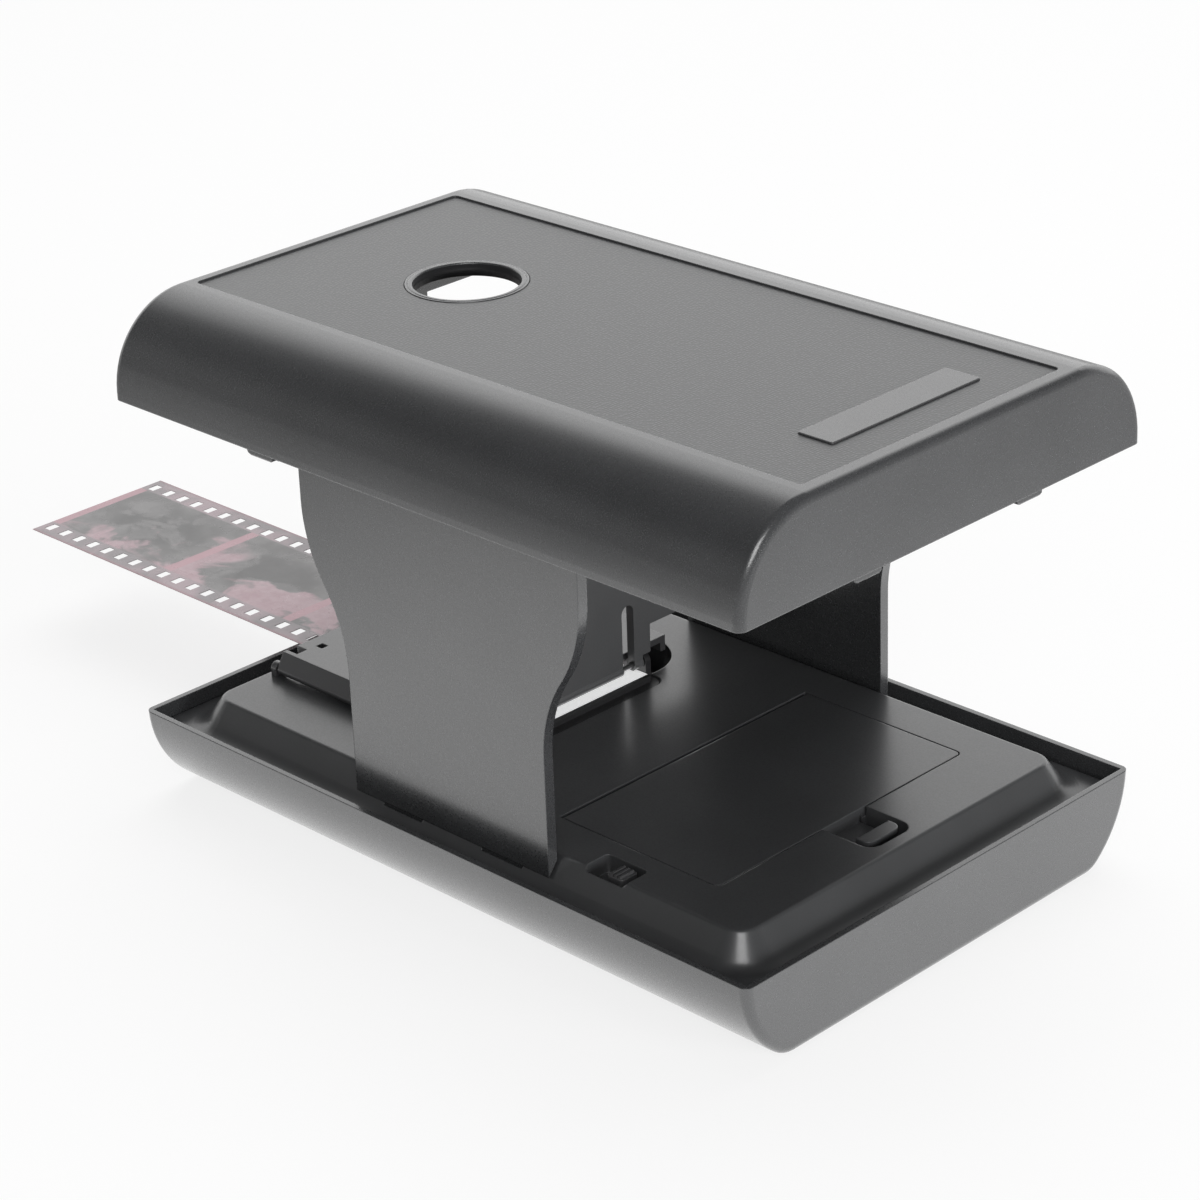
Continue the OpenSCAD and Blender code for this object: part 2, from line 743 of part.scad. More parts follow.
// The foot is cut to the slope of the deck, clear of it by a little
module side_wall() translate([stand_x, 0, 0]) {
    difference() {
        translate([0, (wall_in + wall_out) / 2, 0]) along_y(stand_t) both_rims()
            flank(stand_foot / 2, stand_head / 2, wall_top);
        along_x(far) polygon([[wall_in - 1, 0], [wall_in - 1, foot_z[0]], [wall_in, foot_z[0]],
                              [wall_out, foot_z[1]], [wall_out + 1, foot_z[1]],
                              [wall_out + 1, 0]]);
        along_x(far) polygon([[wall_out - 0.9, wall_top + eps], [wall_out + eps, wall_top - 0.9],
                              [wall_out + 1, wall_top + 1]]);
    }
    for (s = [-1, 1]) block([s * tenon_at - tenon_l / 2, s * tenon_at + tenon_l / 2],
                            [wall_in + 0.4, wall_out - 0.4], [tenon_bottom + 0.05, 20]);
}

module far_side_wall() color(shell_dark) side_wall();

module near_side_wall() color(shell_dark) mirror([0, 1, 0]) side_wall();

// ---- cover

module cover_section(inset)
    difference() {
        w = body_w / 2 - inset;
        r = cover_r - inset;
        union() {
            translate([-w, cover_bottom]) square([2 * w, cover_top - cover_r - cover_bottom]);
            translate([-cover_flat, cover_bottom])
                square([2 * cover_flat, cover_top - inset - cover_bottom]);
            both_rims() translate([cover_flat, cover_top - cover_r]) circle(r, $fn = 128);
        }
        translate([-far, -far]) square([2 * far, far + cover_bottom]);
    }

// Outer form of the cover, with its ends rolled over
module cover_form() {
    shoulder = cover_top - cover_r;
    both_sides() {
        mirror([0, 1, 0]) rotate([90, 0, 0]) linear_extrude(cover_flat) difference() {
            rotate(90) rolled_half(cover_top);
            translate([-far, cover_bottom - 2 * far]) square(2 * far);
        }
        rolled_sector([cover_flat, shoulder], cover_r, 0, 90);
        translate([0, 0, cover_bottom]) linear_extrude(shoulder - cover_bottom)
            mirror([1, -1]) rolled_half(body_w / 2);
    }
}

// Channel under the cover's roof that grips the head of a side wall
module seat_rail() {
    x = stand_head / 2 + 1.6;
    intersection() {
        along_x(body_l - 2) cover_section(0.5);
        difference() {
            block([stand_x - x, stand_x + x], [wall_in - 1.4, wall_out + 1.4], [86, far]);
            block([stand_x - x + 1.2, stand_x + x - 1.2], [wall_in - 0.2, wall_out + 0.2],
                  [0, wall_top + 0.05]);
        }
    }
}

module top_cover() color(shell_dark) difference() {
    union() {
        difference() {
            cover_form();
            along_x(body_l - 2 * wall) cover_section(cover_skin);
        }
        both_sides() seat_rail();
        // closing tabs inside the rim
        both_sides() block([tab_side_x - tab_l / 2, tab_side_x + tab_l / 2],
                           [body_w / 2 - wall - 1.2, body_w / 2 - wall + 0.1],
                           [cover_bottom - tab_drop, cover_bottom + 4]);
        both_ends() both_sides()
            block([body_l / 2 - wall - 1.2, body_l / 2 - wall + 0.1],
                  [tab_end_y - tab_l / 2, tab_end_y + tab_l / 2],
                  [cover_bottom - tab_drop, cover_bottom + 4]);
        // low collar that stiffens the viewing hole
        translate([view_x, 0, cover_top - cover_skin - 0.6])
            cylinder(r = ring_r, h = 1);
    }
    translate([0, 0, cover_top - panel_sink - panel_t]) linear_extrude(far) difference() {
        round_pocket(panel_x, [-panel_half, panel_half], 1);
        translate([view_x, 0]) circle(ring_r);
    }
    translate([view_x, 0, cover_top - panel_sink + 0.1])
        cylinder(r = ring_r + 0.5, h = far);
    translate([view_x, 0, 0]) cylinder(r = view_d / 2, h = far, $fn = 128);
    translate([view_x, 0, cover_top - panel_sink - 0.7])
        cylinder(r1 = view_d / 2, r2 = view_d / 2 + 0.9, h = 0.85, $fn = 128);
}

module grip_panel() color([0.2, 0.2, 0.21])
    translate([0, 0, cover_top - panel_sink - panel_t]) linear_extrude(panel_t) difference() {
        round_pocket(panel_x, [-panel_half, panel_half], 1);
        translate([view_x, 0]) circle(ring_r + 0.15);
        round_pocket(label_x, label_y, 0.6);
    }

module label_plate() color([0.1, 0.1, 0.1])
    translate([0, 0, cover_top - panel_sink - panel_t]) linear_extrude(panel_t - label_sink)
        round_pocket([label_x[0] + 0.1, label_x[1] - 0.1], [label_y[0] + 0.1, label_y[1] - 0.1],
                     0.5);

// ---- wires inside the base

feed_route = [[18, 6, 12], [16, 6, 12], [13.5, 5.4, 11], [11, 4, 8], [8, 3, 5.5], [4, 2, 4.5],
              [0, 2.4, 5.5], [-3, 3.4, 8], [-5.6, 4, 10], [-7.6, 4, 10]];
switch_route = [[34.4, -39.9, 8.6], [33.2, -39.8, 8.6], [31.2, -38.6, 7.4], [29, -36.4, 6.6],
                [26.4, -34, 7.4], [25, -31.6, 9], [25, -30.4, 9]];
module power_wires() {
    color("firebrick") wire(feed_route, 0.6, [0, 0, 1]);
    color("black") translate([0, -4, 0]) wire(feed_route, 0.6, [0, 0, 1]);
    color("firebrick") wire(switch_route, 0.6, [0, 0, 1]);
}

base_shell();
deck();
near_side_wall();
far_side_wall();
top_cover();
grip_panel();
label_plate();
light_shield();
shield_pin();
gate_lid();
film_entry_guide();
light_box();
diffuser_plate();
led_board();
leds();
battery_door();
battery_holder();
aa_cells();
contact_springs();
contact_plates();
switch_body();
switch_knob();
power_wires();
housing_screws();
rubber_feet();
film_strip();
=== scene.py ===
import math

import bmesh
import bpy
from mathutils import Matrix, Vector


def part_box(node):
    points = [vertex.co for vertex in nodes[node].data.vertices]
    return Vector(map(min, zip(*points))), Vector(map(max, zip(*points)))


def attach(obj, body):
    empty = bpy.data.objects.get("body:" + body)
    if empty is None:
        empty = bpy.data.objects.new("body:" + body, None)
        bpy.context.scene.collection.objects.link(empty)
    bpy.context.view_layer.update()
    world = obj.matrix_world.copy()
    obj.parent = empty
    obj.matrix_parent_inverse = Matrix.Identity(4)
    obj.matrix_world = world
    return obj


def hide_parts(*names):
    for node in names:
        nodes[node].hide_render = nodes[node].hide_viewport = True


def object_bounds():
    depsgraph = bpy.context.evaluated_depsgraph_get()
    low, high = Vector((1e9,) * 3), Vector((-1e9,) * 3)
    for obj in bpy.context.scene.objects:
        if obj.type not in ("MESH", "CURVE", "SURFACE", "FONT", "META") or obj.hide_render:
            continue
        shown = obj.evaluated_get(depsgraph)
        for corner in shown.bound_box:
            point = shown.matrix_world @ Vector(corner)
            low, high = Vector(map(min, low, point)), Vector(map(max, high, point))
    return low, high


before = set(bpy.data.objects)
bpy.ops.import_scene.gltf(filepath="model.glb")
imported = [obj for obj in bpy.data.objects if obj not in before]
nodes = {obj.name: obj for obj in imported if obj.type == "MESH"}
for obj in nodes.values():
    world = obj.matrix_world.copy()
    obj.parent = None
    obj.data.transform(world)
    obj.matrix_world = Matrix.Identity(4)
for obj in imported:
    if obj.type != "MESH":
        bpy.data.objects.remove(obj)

cad_low, cad_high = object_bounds()
scene = bpy.context.scene
MM = 0.001

# ---- camera: the photograph's viewing angle

CAM_TARGET = Vector((7.1, -11.9, 52.5)) * MM
CAM_AZIMUTH = 45.50
CAM_ELEVATION = 24.74
CAM_ROLL = -2.13
CAM_DISTANCE = 0.620
CAM_LENS = 103.1


def make_camera():
    az, el, roll = (math.radians(v) for v in (CAM_AZIMUTH, CAM_ELEVATION, CAM_ROLL))
    back = Vector((math.sin(az) * math.cos(el), -math.cos(az) * math.cos(el), math.sin(el)))
    right = Vector((math.cos(az), math.sin(az), 0.0))
    up = back.cross(right)
    right2 = right * math.cos(roll) + up * math.sin(roll)
    up2 = up * math.cos(roll) - right * math.sin(roll)
    data = bpy.data.cameras.new("camera")
    data.lens = CAM_LENS
    data.sensor_width = 36.0
    data.clip_start = 0.01
    data.clip_end = 50.0
    camera = bpy.data.objects.new("camera", data)
    scene.collection.objects.link(camera)
    turn = Matrix((right2, up2, back)).transposed()
    camera.matrix_world = Matrix.LocRotScale(CAM_TARGET + back * CAM_DISTANCE,
                                             turn.to_quaternion(), None)
    scene.camera = camera


make_camera()

# ---- shader helpers


class Shader:
    """A material under construction; each method adds a node and returns its output."""

    def __init__(self, name):
        self.material = bpy.data.materials.new(name)
        self.material.use_nodes = True
        self.tree = self.material.node_tree
        self.tree.nodes.clear()
        self.out = self.tree.nodes.new("ShaderNodeOutputMaterial")
        self._coords = None

    def set(self, socket, value):
        if isinstance(value, bpy.types.NodeSocket):
            self.tree.links.new(value, socket)
        elif value is not None:
            socket.default_value = value

    def node(self, kind, inputs=(), **settings):
        made = self.tree.nodes.new(kind)
        for key, value in settings.items():
            setattr(made, key, value)
        for key, value in dict(inputs).items():
            self.set(made.inputs[key], value)
        return made

    def coords(self):
        if self._coords is None:
            self._coords = self.node("ShaderNodeTexCoord").outputs["Object"]
        return self._coords

    def axes(self):
        split = self.node("ShaderNodeSeparateXYZ", {"Vector": self.coords()})
        return split.outputs["X"], split.outputs["Y"], split.outputs["Z"]

    def math(self, operation, a, b=None, c=None, clamp=False):
        made = self.node("ShaderNodeMath", operation=operation, use_clamp=clamp)
        for socket, value in zip(made.inputs, (a, b, c)):
            self.set(socket, value)
        return made.outputs[0]

    def noise(self, size, detail=3.0, rough=0.55, stretch=(1, 1, 1), distort=0.0):
        place = self.node("ShaderNodeMapping", {"Vector": self.coords(), "Scale": stretch})
        return self.node("ShaderNodeTexNoise", {
            "Vector": place.outputs[0], "Scale": 1.0 / size, "Detail": detail,
            "Roughness": rough, "Distortion": distort}).outputs["Fac"]

    def cells(self, size, feature="F1", randomness=1.0, stretch=(1, 1, 1)):
        place = self.node("ShaderNodeMapping", {"Vector": self.coords(), "Scale": stretch})
        return self.node("ShaderNodeTexVoronoi", {
            "Vector": place.outputs[0], "Scale": 1.0 / size,
            "Randomness": randomness}, feature=feature).outputs["Distance"]

    def ramp(self, value, low, high, out_low=0.0, out_high=1.0, smooth=True):
        made = self.node("ShaderNodeMapRange", {
            0: value, 1: low, 2: high, 3: out_low, 4: out_high},
            interpolation_type="SMOOTHSTEP" if smooth else "LINEAR")
        return made.outputs[0]

    def mix(self, factor, a, b, blend="MIX"):
        made = self.node("ShaderNodeMix", data_type="RGBA", blend_type=blend)
        self.set(made.inputs[0], factor)
        for index, value in ((6, a), (7, b)):
            if isinstance(value, (tuple, list)) and len(value) == 3:
                value = (*value, 1.0)
            self.set(made.inputs[index], value)
        return made.outputs[2]

    def rounded(self, radius):
        """Normal of edges rounded by the given radius."""
        return self.node("ShaderNodeBevel", {"Radius": radius}, samples=6).outputs[0]

    def edges(self, radius):
        """1 on worn convex edges and sharp arrises, 0 on open surfaces."""
        normal = self.node("ShaderNodeNewGeometry").outputs["Normal"]
        dot = self.node("ShaderNodeVectorMath", {0: normal, 1: self.rounded(radius)},
                        operation="DOT_PRODUCT").outputs["Value"]
        return self.ramp(dot, 0.98, 0.75)

    def bump(self, height, depth, strength=1.0, normal=None):
        made = self.node("ShaderNodeBump", {
            "Height": height, "Distance": depth, "Strength": strength})
        if normal is not None:
            self.set(made.inputs["Normal"], normal)
        return made.outputs[0]

    def finish(self, **inputs):
        body = self.node("ShaderNodeBsdfPrincipled")
        for key, value in inputs.items():
            key = key.replace("_", " ")
            if isinstance(value, (tuple, list)) and len(value) == 3 and "Color" in key:
                value = (*value, 1.0)
            self.set(body.inputs[key], value)
        self.tree.links.new(body.outputs[0], self.out.inputs["Surface"])
        return self.material


def tint(color, factor):
    return tuple(min(1.0, c * factor) for c in color)


def moulded(name, color, rough=0.42, grain=0.00035, depth=0.00002, wear=0.35, ior=1.6,
            edge=0.0003, coat=1.0, coat_rough=0.24, coat_ior=1.6):
    """Fine-grained injection-moulded plastic, slightly polished along its edges."""
    s = Shader(name)
    broad = s.noise(0.018, 2.0)
    fine = s.noise(grain, 2.0, 0.6)
    worn = s.edges(edge)
    base = s.mix(s.ramp(broad, 0.3, 0.7), tint(color, 0.92), tint(color, 1.08))
    base = s.mix(s.math("MULTIPLY", s.ramp(fine, 0.35, 0.75), 0.3), base, tint(color, 0.75))
    base = s.mix(s.math("MULTIPLY", worn, wear), base, tint(color, 2.2))
    roughness = s.math("SUBTRACT", s.ramp(fine, 0.3, 0.7, rough - 0.05, rough + 0.07),
                       s.math("MULTIPLY", worn, 0.12))
    smooth = s.rounded(edge)
    normal = s.bump(fine, depth, 0.5, smooth)
    return s.finish(Base_Color=base, Roughness=roughness, IOR=ior, Normal=normal,
                    Coat_Weight=coat, Coat_Roughness=coat_rough,
                    Coat_IOR=coat_ior, Coat_Normal=smooth)


# ---- materials

SHELL = (0.038, 0.039, 0.041)
DECK = (0.044, 0.045, 0.047)

shell = moulded("moulded_shell", SHELL, rough=0.30, depth=0.000005, ior=1.7,
                coat_rough=0.2, coat_ior=1.7)
# The shield is a lighter copy of the shell plastic: painted light, standing in for the light
# that falls on it under the cover.
shield_painted_light = moulded("shield_plastic_painted_light", (0.072, 0.073, 0.075), rough=0.40, depth=0.00001)
deck = moulded("satin_deck", DECK, rough=0.38, grain=0.0003, depth=0.000012)
gate = moulded("satin_gate", (0.040, 0.040, 0.042), rough=0.34, grain=0.0003,
               depth=0.000007, ior=1.7, coat_ior=1.7)
inner = moulded("black_inner", (0.02, 0.02, 0.021), rough=0.5)
plate = moulded("label_plate", (0.055, 0.055, 0.057), rough=0.28, grain=0.0003,
                depth=0.000004, coat_rough=0.2)
# Near-black matte sheet for the viewing hole's inner wall: painted shade where that wall lies
# in shadow.
painted_shade_sheet = moulded("hole_liner", (0.014, 0.014, 0.015), rough=0.6, coat=0.0, ior=1.4)
knob = moulded("ribbed_knob", (0.05, 0.05, 0.052), rough=0.45, coat=0.5)


def grip_material():
    """Embossed sheet: small pebbles in close rows; their tops are painted lighter and the gaps
    between them darker, as painted highlight and painted shade.
    """
    s = Shader("grip_grain")
    pebble = s.cells(0.00062, randomness=0.55)
    fine = s.noise(0.0002, 2.0)
    height = s.math("SUBTRACT", 1.0, s.ramp(pebble, 0.05, 0.55))
    # Colour follows the pebble height: painted highlight on the tops, painted shade in the
    # gaps.
    base = s.mix(height, tint(SHELL, 0.95), tint(SHELL, 1.30))
    roughness = s.ramp(height, 0.0, 1.0, 0.5, 0.4)
    normal = s.bump(s.math("MULTIPLY_ADD", fine, 0.2, height), 0.00005, 0.6,
                    s.rounded(0.0002))
    return s.finish(Base_Color=base, Roughness=roughness, Normal=normal, IOR=1.6,
                    Coat_Weight=1.0, Coat_Roughness=0.32, Coat_IOR=1.6,
                    Coat_Normal=normal)


LIGHT_BOX = 0.5


def opal_material():
    s = Shader("opal_acrylic")
    cloud = s.noise(0.01, 2.0)
    base = s.mix(cloud, (0.82, 0.83, 0.83), (0.90, 0.91, 0.91))
    return s.finish(Base_Color=base, Roughness=s.ramp(cloud, 0.3, 0.7, 0.28, 0.36),
                    Subsurface_Weight=0.3, Subsurface_Radius=(0.002, 0.002, 0.002),
                    Emission_Color=(1.0, 1.0, 1.0), Emission_Strength=LIGHT_BOX,
                    Normal=s.rounded(0.0002))


def film_material():
    """Developed negative: mauve rebate, grey frames with darker hearts and pink clear parts."""
    s = Shader("negative_film")
    x, y, _ = s.axes()
    pitch = 0.038
    frame_line = -0.1210
    frame_half = 0.012
    frames_before = 10.0
    place = s.math("DIVIDE", s.math("SUBTRACT", x, frame_line), pitch)
    part = s.math("FRACT", s.math("ADD", place, frames_before))
    middle = s.math("ABSOLUTE", s.math("SUBTRACT", part, 0.5))
    in_x = s.ramp(middle, 0.474, 0.466)
    in_y = s.ramp(s.math("ABSOLUTE", y), frame_half + 0.0003, frame_half - 0.0002)
    inside = s.math("MULTIPLY", in_x, in_y)
    mass = s.noise(0.012, 6.0, 0.6, (1, 1.3, 1), 0.6)
    patch = s.noise(0.016, 4.0, 0.55, (1, 1, 1), 0.8)
    speck = s.noise(0.0022, 5.0, 0.7)
    cloud = s.noise(0.007, 4.0, 0.6)
    across = s.math("DIVIDE", y, frame_half)
    along = s.math("MULTIPLY", s.math("SUBTRACT", part, 0.5), 2.0)
    from_middle = s.math("SQRT", s.math("MULTIPLY_ADD", along, along,
                                        s.math("MULTIPLY", across, across)))
    heart = s.ramp(from_middle, 0.45, 1.0, 1.0, 0.0)
    blotch = s.math("MULTIPLY", s.ramp(mass, 0.45, 0.52), heart)
    clear = s.ramp(s.math("MULTIPLY_ADD", across, -0.18, patch), 0.58, 0.68)
    pink = s.mix(s.ramp(speck, 0.3, 0.7), (0.47, 0.31, 0.345), (0.56, 0.41, 0.445))
    grey = s.mix(s.ramp(cloud, 0.35, 0.7), (0.175, 0.170, 0.170), (0.25, 0.242, 0.242))
    dark = s.mix(speck, (0.10, 0.098, 0.098), (0.15, 0.147, 0.147))
    picture = s.mix(s.math("MULTIPLY", blotch, 0.85), grey, dark)
    picture = s.mix(s.math("MULTIPLY", clear, 0.85), picture, pink)
    rebate = s.mix(s.ramp(patch, 0.40, 0.62), (0.29, 0.265, 0.275), (0.42, 0.335, 0.36))
    edge = s.ramp(s.math("ABSOLUTE", y), 0.0166, 0.0174)
    rebate = s.mix(s.math("MULTIPLY", edge, 0.6), rebate, (0.36, 0.20, 0.23))
    line = s.math("MULTIPLY", s.ramp(middle, 0.463, 0.470), in_y)
    base = s.mix(inside, rebate, picture)
    base = s.mix(s.math("MULTIPLY", line, 0.8), base, (0.54, 0.32, 0.36))
    return s.finish(Base_Color=base, Roughness=s.ramp(mass, 0.4, 0.6, 0.24, 0.34),
                    Coat_Weight=0.3, Coat_Roughness=0.12)


def board_material():
    s = Shader("circuit_board")
    track = s.cells(0.0035, "DISTANCE_TO_EDGE", 0.35)
    line = s.ramp(track, 0.10, 0.06)
    base = s.mix(line, (0.02, 0.12, 0.05), (0.05, 0.22, 0.09))
    return s.finish(Base_Color=base, Roughness=0.35, Coat_Weight=0.4,
                    Normal=s.bump(line, 0.00004, 0.5))


def led_material():
    s = Shader("led_resin")
    core = s.ramp(s.noise(0.001, 2.0), 0.3, 0.7)
    base = s.mix(core, (0.85, 0.70, 0.18), (0.92, 0.84, 0.42))
    return s.finish(Base_Color=base, Roughness=0.2, Coat_Weight=0.6)


def cell_material():
    """Sleeved AA cell: a broad copper-coloured band, dark body, bare ends."""
    s = Shader("cell_sleeve")
    x, y, _ = s.axes()
    sleeve_end = 0.0238
    band_y = 0.006
    between_x = 0.0354
    end = s.ramp(s.math("ABSOLUTE", y), sleeve_end, sleeve_end + 0.0002)
    far_part = s.ramp(y, band_y, band_y + 0.0005)
    second = s.ramp(x, between_x, between_x + 0.0002)
    copper = s.math("ABSOLUTE", s.math("SUBTRACT", far_part, second))
    sleeve = s.mix(copper, (0.03, 0.03, 0.032), (0.55, 0.27, 0.10))
    base = s.mix(end, sleeve, (0.62, 0.62, 0.63))
    haze = s.noise(0.003, 3.0)
    shine = s.math("MAXIMUM", s.ramp(copper, 0.0, 1.0, 0.0, 0.7), end)
    return s.finish(Base_Color=base, Metallic=shine,
                    Roughness=s.ramp(haze, 0.3, 0.7, 0.26, 0.31), Coat_Weight=0.4,
                    Coat_Roughness=0.12, Normal=s.rounded(0.0004))


def metal(name, color, rough, grain=(1, 1, 1)):
    s = Shader(name)
    streak = s.noise(0.0008, 3.0, 0.6, grain)
    base = s.mix(streak, tint(color, 0.85), tint(color, 1.1))
    return s.finish(Base_Color=base, Metallic=1.0,
                    Roughness=s.ramp(streak, 0.3, 0.7, rough - 0.06, rough + 0.08),
                    Normal=s.bump(streak, 0.00001, 0.4, s.rounded(0.0001)))


def rubber_material():
    s = Shader("soft_rubber")
    fine = s.noise(0.0003, 3.0)
    base = s.mix(fine, (0.018, 0.018, 0.018), (0.04, 0.04, 0.04))
    return s.finish(Base_Color=base, Roughness=s.ramp(fine, 0.3, 0.7, 0.65, 0.8),
                    Normal=s.bump(fine, 0.00002, 0.5))


def wire_material():
    s = Shader("wire_sleeve")
    fine = s.noise(0.0006, 2.0)
    base = s.mix(fine, (0.32, 0.02, 0.015), (0.42, 0.04, 0.03))
    return s.finish(Base_Color=base, Roughness=s.ramp(fine, 0.3, 0.7, 0.3, 0.4))


steel = metal("zinc_steel", (0.55, 0.55, 0.56), 0.34)
nickel = metal("nickel_contact", (0.68, 0.67, 0.64), 0.26)

FINISH = {
    "base_shell": shell, "deck": deck, "near_side_wall": shell, "far_side_wall": shell,
    "top_cover": shell, "grip_panel": grip_material(), "label_plate": plate,
    "light_shield": shield_painted_light, "shield_pin": steel, "gate_lid": gate,
    "film_entry_guide": gate, "light_box": inner, "diffuser_plate": opal_material(),
    "led_board": board_material(), "leds": led_material(), "battery_door": deck,
    "battery_holder": inner, "aa_cells": cell_material(), "contact_springs": nickel,
    "contact_plates": nickel, "switch_body": steel, "switch_knob": knob,
    "power_wires": wire_material(), "housing_screws": steel,
    "rubber_feet": rubber_material(), "film_strip": film_material(),
}
for name, material in FINISH.items():
    slots = nodes[name].data.materials
    slots.clear()
    slots.append(material)

# ---- pieces: label plate, trim of the viewing hole and a dark sheet of painted shade inside it, opal plate's rim, tabs

LABEL_X = (59.6 * MM, 67.3 * MM)
LABEL_Y = (-16.9 * MM, 21.3 * MM)
LABEL_CORNER = 0.5 * MM
LABEL_FLOOR = 99.17 * MM
LABEL_TOP = 100.40 * MM
HOLE_X = -37.0 * MM
HOLE_STEPS = 128


def add_piece(name, bm, body, material):
    mesh = bpy.data.meshes.new(name)
    bmesh.ops.recalc_face_normals(bm, faces=bm.faces)
    bm.to_mesh(mesh)
    bm.free()
    piece = bpy.data.objects.new(name, mesh)
    scene.collection.objects.link(piece)
    mesh.materials.append(material)
    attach(piece, body)
    return piece


def rounded_outline(x, y, radius, steps=6):
    """Points of a rounded rectangle, counter-clockwise."""
    points = []
    for cx, cy, first in ((x[1], y[1], 0), (x[0], y[1], 90), (x[0], y[0], 180),
                          (x[1], y[0], 270)):
        mx = cx - math.copysign(radius, cx - sum(x) / 2)
        my = cy - math.copysign(radius, cy - sum(y) / 2)
        for step in range(steps + 1):
            turn = math.radians(first + 90 * step / steps)
            points.append((mx + radius * math.cos(turn), my + radius * math.sin(turn)))
    return points


def stack(bm, rings, closed=True):
    """Skin a list of rings of points; closed rings get a face at both ends."""
    made = [[bm.verts.new(point) for point in ring] for ring in rings]
    for lower, upper in zip(made, made[1:] if closed else made[1:] + made[:1]):
        for k in range(len(lower)):
            j = (k + 1) % len(lower)
            bm.faces.new((lower[k], lower[j], upper[j], upper[k]))
    if closed:
        bm.faces.new(made[0][::-1])
        bm.faces.new(made[-1])


def make_label():
    """Bare plate that stands a third of a millimetre proud, with rounded edges."""
    bm = bmesh.new()
    rings = []
    for inset, z in ((0.0, LABEL_FLOOR), (0.0, LABEL_TOP - 0.10 * MM),
                     (0.04 * MM, LABEL_TOP - 0.03 * MM), (0.12 * MM, LABEL_TOP)):
        outline = rounded_outline((LABEL_X[0] + inset, LABEL_X[1] - inset),
                                  (LABEL_Y[0] + inset, LABEL_Y[1] - inset),
                                  LABEL_CORNER - inset)
        rings.append([(x, y, z) for x, y in outline])
    stack(bm, rings)
    piece = add_piece("raised_label_plate", bm, "cover", plate)
    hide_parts("label_plate")


make_label()


def make_hole_ring(name, material, profile):
    """Ring of the viewing hole from its section, given as radius and height in mm."""
    bm = bmesh.new()
    turns = [math.tau * k / HOLE_STEPS for k in range(HOLE_STEPS)]
    rings = [[(HOLE_X + radius * MM * math.cos(turn), radius * MM * math.sin(turn), z * MM)
              for turn in turns] for radius, z in profile]
    stack(bm, rings, closed=False)
    piece = add_piece(name, bm, "cover", material)
    for face in piece.data.polygons:
        face.use_smooth = True


make_hole_ring("viewing_hole_trim", shell,
               ((10.16, 99.70), (10.16, 99.98), (10.24, 100.12), (10.42, 100.19),
                (10.80, 100.17), (11.15, 100.16), (11.15, 100.06), (10.60, 99.70)))
# A dark sheet lines the hole's wall below the trim: painted shade.
make_hole_ring("viewing_hole_liner", painted_shade_sheet,
               ((10.12, 97.60), (10.12, 99.92), (10.22, 99.92), (10.22, 97.60)))


def make_diffuser_rim():
    """Dark rim along the end of the opal plate that shows in front of the shield."""
    low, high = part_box("diffuser_plate")
    inner_x = high.x - 0.60 * MM
    outer_x = high.x + 0.42 * MM
    corner = 0.15 * MM
    bm = bmesh.new()
    rings = []
    for inset, z in ((0.0, low.z + 0.2 * MM), (0.0, high.z - 0.05 * MM),
                     (0.06 * MM, high.z + 0.02 * MM)):
        outline = rounded_outline((inner_x + inset, outer_x - inset),
                                  (low.y + inset, high.y - inset), corner)
        rings.append([(x, y, z) for x, y in outline])
    stack(bm, rings)
    add_piece("diffuser_rim", bm, "base", inner)


make_diffuser_rim()

COVER_BOTTOM = 82.0 * MM
TAB_HALF = 3.4 * MM
TAB_DROP = 1.15 * MM
TAB_ROOT = 0.6 * MM
TAB_DEPTH = 1.6 * MM
TAB_BEVEL = 0.25 * MM
TAB_SIDE_Y = 51.78 * MM
TAB_SIDE_X = -37.4 * MM
TAB_END_X = 78.48 * MM
TAB_END_Y = 21.0 * MM


def tab_outline():
    """A closing tab from its broad side, as distance from its middle and height."""
    return [(-TAB_HALF - 0.5 * MM, TAB_ROOT), (-TAB_HALF - 0.1 * MM, 0.0),
            (-TAB_HALF + 0.25 * MM, -0.75 * TAB_DROP), (-TAB_HALF + 0.8 * MM, -TAB_DROP),
            (TAB_HALF - 0.5 * MM, -TAB_DROP), (TAB_HALF - 0.1 * MM, -0.75 * TAB_DROP),
            (TAB_HALF, 0.0), (TAB_HALF, TAB_ROOT)]


def add_tab(bm, middle, outer, on_end):
    """One tab along x, or along y on an end; it grows inwards from its outer face."""
    rings = []
    for depth, length, drop in ((0.0, 0.975, 0.75), (TAB_BEVEL, 1.0, 1.0),
                                (TAB_DEPTH, 1.0, 1.0)):
        across = outer - math.copysign(depth, outer)
        ring = []
        for offset, rise in tab_outline():
            along = middle + offset * length
            height = COVER_BOTTOM + rise * (drop if rise < 0.0 else 1.0)
            ring.append((across, along, height) if on_end else (along, across, height))
        rings.append(ring)
    stack(bm, rings)


def make_tabs():
    """Small rounded tabs under the cover's rim, where it closes on the base."""
    bm = bmesh.new()
    for side in (-1, 1):
        add_tab(bm, TAB_SIDE_X, side * TAB_SIDE_Y, False)
    for side in (-1, 1):
        for end_y in (-TAB_END_Y, TAB_END_Y):
            add_tab(bm, end_y, side * TAB_END_X, True)
    add_piece("closing_tabs", bm, "cover", shell)


make_tabs()

# ---- studio: pale floor, white surround, soft lamps; heights are sines of elevation

AMBIENT_LOW = 0.62
AMBIENT_HIGH = 0.24
ROOM_DARK = 0.03
SWEEP_TOP = 0.66
FRONT_GLOW = 0.20
FLOOR_COLOR = (0.90, 0.90, 0.90, 1.0)
FLOOR_GLOW = 0.8
FLOOR_NEAR, FLOOR_FAR = 0.12, 0.31
FLOOR_FAR_LEVEL = 0.28
FLOOR_HALF = 6.0
DIAGONAL = 0.707


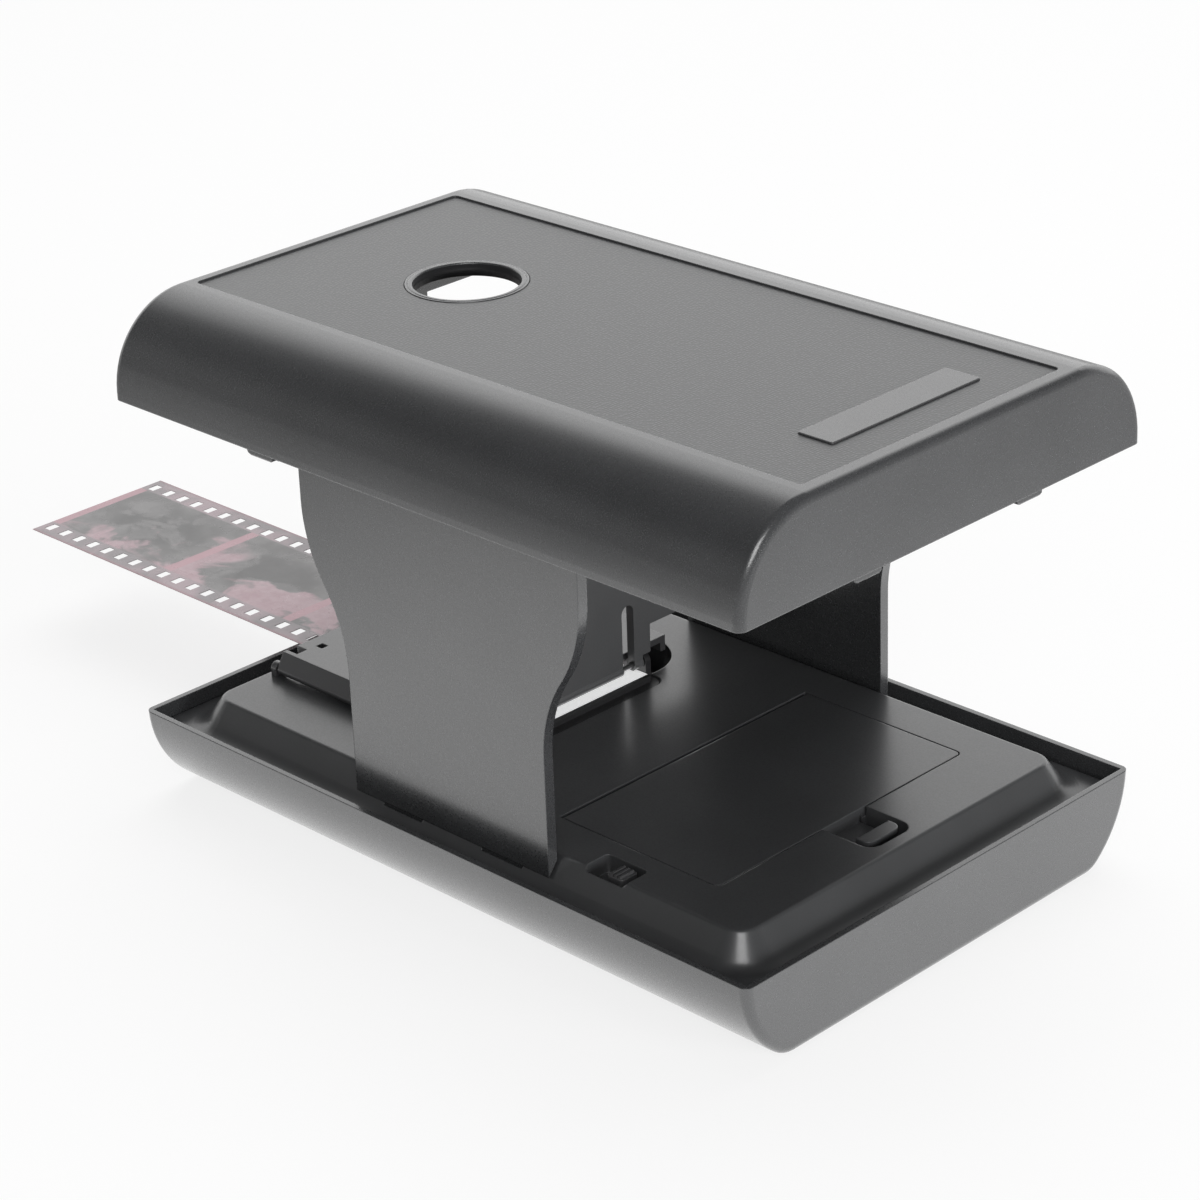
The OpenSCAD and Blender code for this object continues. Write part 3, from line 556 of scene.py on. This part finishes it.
def floor_material():
    """White floor that keeps a soft shadow; mirrors see it fade with distance."""
    s = Shader("studio_floor")
    seen = s.node("ShaderNodeLightPath").outputs
    bare = s.math("MAXIMUM", s.math("MAXIMUM", seen["Is Camera Ray"], seen["Is Glossy Ray"]),
                  seen["Is Transmission Ray"])
    x, y, _ = s.axes()
    away = s.math("SQRT", s.math("MULTIPLY_ADD", x, x, s.math("MULTIPLY", y, y)))
    fade = s.ramp(away, FLOOR_NEAR, FLOOR_FAR, 1.0, FLOOR_FAR_LEVEL)
    level = s.math("MAXIMUM", fade, seen["Is Camera Ray"])
    pale = s.node("ShaderNodeBsdfDiffuse", {"Color": FLOOR_COLOR})
    glow = s.node("ShaderNodeEmission", {"Color": (1, 1, 1, 1), "Strength": level})
    blend = s.node("ShaderNodeMixShader", {"Fac": s.math("MULTIPLY", bare, FLOOR_GLOW)})
    s.tree.links.new(pale.outputs[0], blend.inputs[1])
    s.tree.links.new(glow.outputs[0], blend.inputs[2])
    s.tree.links.new(blend.outputs[0], s.out.inputs["Surface"])
    return s.material


def make_floor():
    level = min(0.0, cad_low.z)
    corners = [(-1, -1), (1, -1), (1, 1), (-1, 1)]
    mesh = bpy.data.meshes.new("studio_floor")
    mesh.from_pydata([(x * FLOOR_HALF, y * FLOOR_HALF, level) for x, y in corners], [],
                     [(0, 1, 2, 3)])
    floor = bpy.data.objects.new("studio_floor", mesh)
    scene.collection.objects.link(floor)
    mesh.materials.append(floor_material())


def make_world():
    """White to the camera; mirrors see a white sweep behind and a dark room above."""
    world = bpy.data.worlds.new("studio")
    scene.world = world
    world.use_nodes = True
    tree = world.node_tree
    tree.nodes.clear()

    def node(kind, inputs=(), **settings):
        made = tree.nodes.new(kind)
        for key, value in settings.items():
            setattr(made, key, value)
        for key, value in dict(inputs).items():
            if isinstance(value, bpy.types.NodeSocket):
                tree.links.new(value, made.inputs[key])
            else:
                made.inputs[key].default_value = value
        return made

    def calc(operation, a, b=0.0, c=0.0):
        return node("ShaderNodeMath", {0: a, 1: b, 2: c}, operation=operation).outputs[0]

    def smooth(value, low, high, out_low, out_high):
        return node("ShaderNodeMapRange", {0: value, 1: low, 2: high, 3: out_low, 4: out_high},
                    interpolation_type="SMOOTHSTEP").outputs[0]

    seen = node("ShaderNodeLightPath").outputs
    split = node("ShaderNodeSeparateXYZ",
                 {0: node("ShaderNodeTexCoord").outputs["Generated"]}).outputs
    behind = calc("MULTIPLY_ADD", split[0], -DIAGONAL, calc("MULTIPLY", split[1], DIAGONAL))
    behind = smooth(behind, 0.25, 0.65, 0.0, 1.0)
    top = calc("MULTIPLY", behind, SWEEP_TOP)
    height = calc("SUBTRACT", split[2], top)
    surround = smooth(height, -0.08, 0.08, 1.0, ROOM_DARK)
    front = smooth(split[2], 0.30, 0.65, FRONT_GLOW, ROOM_DARK)
    surround = calc("MAXIMUM", surround, front)
    ambient = smooth(split[2], 0.0, 0.7, AMBIENT_LOW, AMBIENT_HIGH)
    mirror = calc("MAXIMUM", seen["Is Glossy Ray"], seen["Is Transmission Ray"])
    level = calc("MULTIPLY_ADD", mirror, calc("SUBTRACT", surround, ambient), ambient)
    level = calc("MAXIMUM", level, seen["Is Camera Ray"])
    light = node("ShaderNodeBackground", {"Color": (1, 1, 1, 1), "Strength": level})
    out = node("ShaderNodeOutputWorld")
    tree.links.new(light.outputs[0], out.inputs["Surface"])


def lamp(name, place, aim, size, power, lights="diffuse"):
    """Soft lamp that adds either plain light or a reflection, never both."""
    data = bpy.data.lights.new(name, "AREA")
    data.shape = "RECTANGLE"
    data.size, data.size_y = size
    data.energy = power
    made = bpy.data.objects.new(name, data)
    scene.collection.objects.link(made)
    made.location = place
    made.rotation_mode = "QUATERNION"
    made.rotation_quaternion = (Vector(aim) - Vector(place)).to_track_quat("-Z", "Y")
    made.visible_glossy = lights == "glossy"
    made.visible_diffuse = lights == "diffuse"


make_floor()
make_world()
lamp("top_softbox", (-0.35, 0.45, 1.2), (0, 0, 0.05), (1.2, 1.2), 12.0)
lamp("camera_softbox", (0.92, -0.92, 0.85), (0, 0, 0.04), (0.6, 0.6), 6.0)
lamp("edge_softbox", (0.80, -0.80, 1.08), (0, 0, 0.05), (0.7, 0.75), 6.0, "glossy")
lamp("right_softbox", (1.3, 0.05, 0.30), (0, 0, 0.05), (0.6, 0.4), 12.0)

scene.view_settings.view_transform = "Standard"
